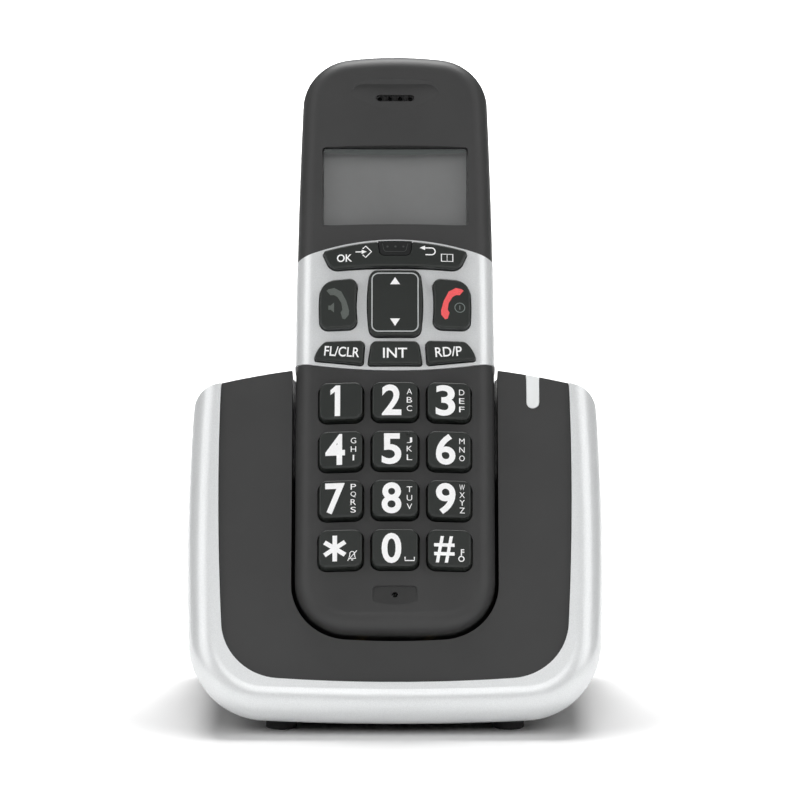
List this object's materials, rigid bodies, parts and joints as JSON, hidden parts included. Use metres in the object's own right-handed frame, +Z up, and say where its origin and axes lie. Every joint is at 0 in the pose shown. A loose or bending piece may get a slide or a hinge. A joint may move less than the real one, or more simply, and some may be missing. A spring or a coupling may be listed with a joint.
{
  "type": "cordless telephone with charging base",
  "caption": "Cordless telephone handset with keypad, display and earpiece, standing tilted in a wide charging base with a silver frame.",
  "frame": {"origin": "centre of the bounding box in plan, on the plane the feet stand on", "axes": "+Z up, -Y towards the user (the keypad faces -Y and up), +X to the right as seen from the front"},
  "size_m": [0.1082, 0.0994, 0.1687],
  "materials": {
    "dark_casing": "fine satin texture, near-black grey",
    "silver_casing": "satin pearl-silver lacquer",
    "key_plastic": "satin near-black keys with printed legends",
    "clear_window": "clear hard-coated window",
    "lcd": "grey reflective liquid-crystal panel",
    "lamp_window": "smoked translucent lamp window",
    "light_pipe": "milky white translucent light pipe",
    "inner_plastic": "black moulded plastic",
    "socket_plastic": "black modular socket",
    "circuit_board": "green solder mask over copper",
    "rubber_mat": "grey silicone rubber",
    "rubber_black": "black rubber",
    "tinned_steel": "tinned sheet steel",
    "screw_steel": "zinc-plated steel",
    "gold_contact": "gold-plated contact",
    "cell_wrap": "printed shrink wrap over a steel can",
    "speaker_metal": "steel capsule with a paper cone"
  },
  "bodies": {
    "base": {"base_front_cover": "dark_casing", "base_silver_frame": "silver_casing", "base_rear_housing": "dark_casing", "base_bottom_plate": "inner_plastic", "base_feet": "rubber_black", "base_screws": "screw_steel", "base_light_pipe": "light_pipe", "base_lamp_board": "circuit_board", "base_circuit_board": "circuit_board", "base_shield_can": "tinned_steel", "line_socket": "socket_plastic", "power_socket": "socket_plastic"},
    "handset": {"handset_upper_cover": "dark_casing", "handset_lower_cover": "dark_casing", "handset_silver_band": "silver_casing", "handset_rear_cover": "dark_casing", "display_lens": "clear_window", "lcd_panel": "lcd", "lcd_frame": "tinned_steel", "handset_circuit_board": "circuit_board", "handset_shield_can": "tinned_steel", "keypad_mat": "rubber_mat", "message_lamp": "lamp_window", "earpiece_speaker": "speaker_metal", "loudspeaker": "speaker_metal", "microphone": "tinned_steel", "microphone_boot": "rubber_black", "battery_cells": "cell_wrap", "battery_springs": "tinned_steel", "battery_plates": "tinned_steel", "handset_charge_pads": "gold_contact", "handset_screws": "screw_steel"},
    "battery_door": {"battery_door": "dark_casing"},
    "soft_key_bar": {"soft_key_bar": "key_plastic"},
    "navigation_key": {"navigation_key": "key_plastic"},
    "paging_button": {"paging_button": "key_plastic"},
    "charge_contact_left": {"charge_contact_left": "gold_contact"},
    "charge_contact_right": {"charge_contact_right": "gold_contact"},
    "key_1": {"key_1": "key_plastic"},
    "key_2": {"key_2": "key_plastic"},
    "key_3": {"key_3": "key_plastic"},
    "key_4": {"key_4": "key_plastic"},
    "key_5": {"key_5": "key_plastic"},
    "key_6": {"key_6": "key_plastic"},
    "key_7": {"key_7": "key_plastic"},
    "key_8": {"key_8": "key_plastic"},
    "key_9": {"key_9": "key_plastic"},
    "key_star": {"key_star": "key_plastic"},
    "key_0": {"key_0": "key_plastic"},
    "key_hash": {"key_hash": "key_plastic"},
    "talk_key": {"talk_key": "key_plastic"},
    "end_call_key": {"end_call_key": "key_plastic"},
    "flash_key": {"flash_key": "key_plastic"},
    "intercom_key": {"intercom_key": "key_plastic"},
    "redial_key": {"redial_key": "key_plastic"}
  },
  "joints": [
    {"name": "handset_lift", "type": "slide", "parent": "base", "child": "handset", "axis": [0, 0.4695, 0.8829], "range_m": [0, 0.12]},
    {"name": "battery_door_off", "type": "slide", "parent": "handset", "child": "battery_door", "axis": [0, 0.8829, -0.4695], "range_m": [0, 0.03]},
    {"name": "soft_key_rock", "type": "hinge", "parent": "handset", "child": "soft_key_bar", "pos_m": [0, 0.00422, 0.11785], "axis": [0, 0.4695, 0.8829], "range_deg": [-1.4, 1.4], "stiffness_Nm_per_rad": 1.2},
    {"name": "navigation_rock", "type": "hinge", "parent": "handset", "child": "navigation_key", "pos_m": [0, -0.00216, 0.10584], "axis": [1, 0, 0], "range_deg": [-2.4, 2.4], "stiffness_Nm_per_rad": 0.8},
    {"name": "key_1_press", "type": "slide", "parent": "handset", "child": "key_1", "axis": [0, 0.8829, -0.4695], "range_m": [0, 0.0008], "stiffness_N_per_m": 1500},
    {"name": "key_2_press", "type": "slide", "parent": "handset", "child": "key_2", "axis": [0, 0.8829, -0.4695], "range_m": [0, 0.0008], "stiffness_N_per_m": 1500},
    {"name": "key_3_press", "type": "slide", "parent": "handset", "child": "key_3", "axis": [0, 0.8829, -0.4695], "range_m": [0, 0.0008], "stiffness_N_per_m": 1500},
    {"name": "key_4_press", "type": "slide", "parent": "handset", "child": "key_4", "axis": [0, 0.8829, -0.4695], "range_m": [0, 0.0008], "stiffness_N_per_m": 1500},
    {"name": "key_5_press", "type": "slide", "parent": "handset", "child": "key_5", "axis": [0, 0.8829, -0.4695], "range_m": [0, 0.0008], "stiffness_N_per_m": 1500, "deforming": ["keypad_mat"]},
    {"name": "key_6_press", "type": "slide", "parent": "handset", "child": "key_6", "axis": [0, 0.8829, -0.4695], "range_m": [0, 0.0008], "stiffness_N_per_m": 1500},
    {"name": "key_7_press", "type": "slide", "parent": "handset", "child": "key_7", "axis": [0, 0.8829, -0.4695], "range_m": [0, 0.0008], "stiffness_N_per_m": 1500},
    {"name": "key_8_press", "type": "slide", "parent": "handset", "child": "key_8", "axis": [0, 0.8829, -0.4695], "range_m": [0, 0.0008], "stiffness_N_per_m": 1500},
    {"name": "key_9_press", "type": "slide", "parent": "handset", "child": "key_9", "axis": [0, 0.8829, -0.4695], "range_m": [0, 0.0008], "stiffness_N_per_m": 1500},
    {"name": "key_star_press", "type": "slide", "parent": "handset", "child": "key_star", "axis": [0, 0.8829, -0.4695], "range_m": [0, 0.0008], "stiffness_N_per_m": 1500},
    {"name": "key_0_press", "type": "slide", "parent": "handset", "child": "key_0", "axis": [0, 0.8829, -0.4695], "range_m": [0, 0.0008], "stiffness_N_per_m": 1500},
    {"name": "key_hash_press", "type": "slide", "parent": "handset", "child": "key_hash", "axis": [0, 0.8829, -0.4695], "range_m": [0, 0.0008], "stiffness_N_per_m": 1500},
    {"name": "talk_key_press", "type": "slide", "parent": "handset", "child": "talk_key", "axis": [0, 0.8829, -0.4695], "range_m": [0, 0.0008], "stiffness_N_per_m": 1500},
    {"name": "end_call_key_press", "type": "slide", "parent": "handset", "child": "end_call_key", "axis": [0, 0.8829, -0.4695], "range_m": [0, 0.0008], "stiffness_N_per_m": 1500},
    {"name": "flash_key_press", "type": "slide", "parent": "handset", "child": "flash_key", "axis": [0, 0.8829, -0.4695], "range_m": [0, 0.0008], "stiffness_N_per_m": 1500},
    {"name": "intercom_key_press", "type": "slide", "parent": "handset", "child": "intercom_key", "axis": [0, 0.8829, -0.4695], "range_m": [0, 0.0008], "stiffness_N_per_m": 1500},
    {"name": "redial_key_press", "type": "slide", "parent": "handset", "child": "redial_key", "axis": [0, 0.8829, -0.4695], "range_m": [0, 0.0008], "stiffness_N_per_m": 1500},
    {"name": "paging_press", "type": "slide", "parent": "base", "child": "paging_button", "axis": [0, -1, 0], "range_m": [0, 0.0012], "stiffness_N_per_m": 900},
    {"name": "contact_left_press", "type": "slide", "parent": "base", "child": "charge_contact_left", "axis": [0, -0.4695, -0.8829], "range_m": [0, 0.0008], "stiffness_N_per_m": 400},
    {"name": "contact_right_press", "type": "slide", "parent": "base", "child": "charge_contact_right", "axis": [0, -0.4695, -0.8829], "range_m": [0, 0.0008], "stiffness_N_per_m": 400}
  ]
}
